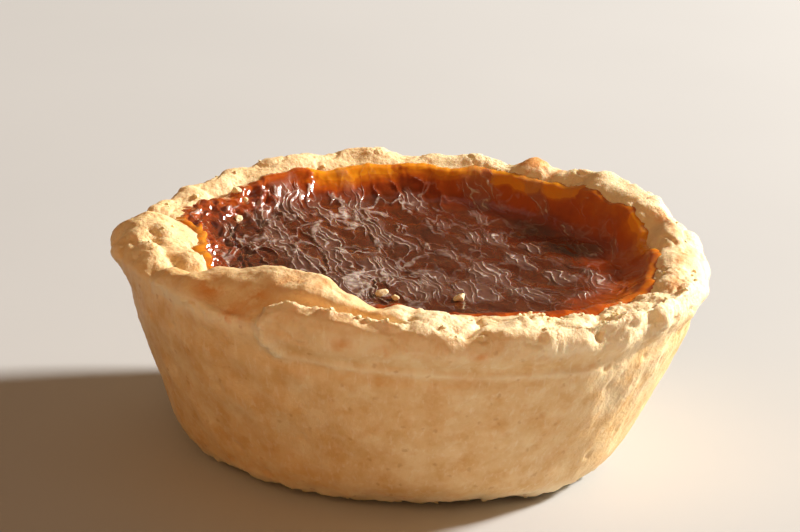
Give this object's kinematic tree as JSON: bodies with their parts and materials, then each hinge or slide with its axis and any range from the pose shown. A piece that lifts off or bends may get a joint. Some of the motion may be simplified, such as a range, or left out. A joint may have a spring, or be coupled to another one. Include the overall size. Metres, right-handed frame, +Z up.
{
  "type": "treacle tart",
  "caption": "Small deep treacle tart: thick shortcrust case with a folded, crumbly rim round a dark sunken treacle filling, turned out of its tin.",
  "frame": {"origin": "centre of the flat underside, on the surface that the tart stands on", "axes": "+Z up, -Y towards the side with the long fold of dough on its left, +X to the right of that side"},
  "size_m": [0.0814, 0.0798, 0.0331],
  "materials": {
    "pastry": "matte, crumbly, pale gold baked shortcrust",
    "treacle": "glossy, wrinkled skin over a dark amber filling"
  },
  "bodies": {
    "root": {"pastry_case": "pastry", "treacle_filling": "treacle"}
  },
  "joints": []
}
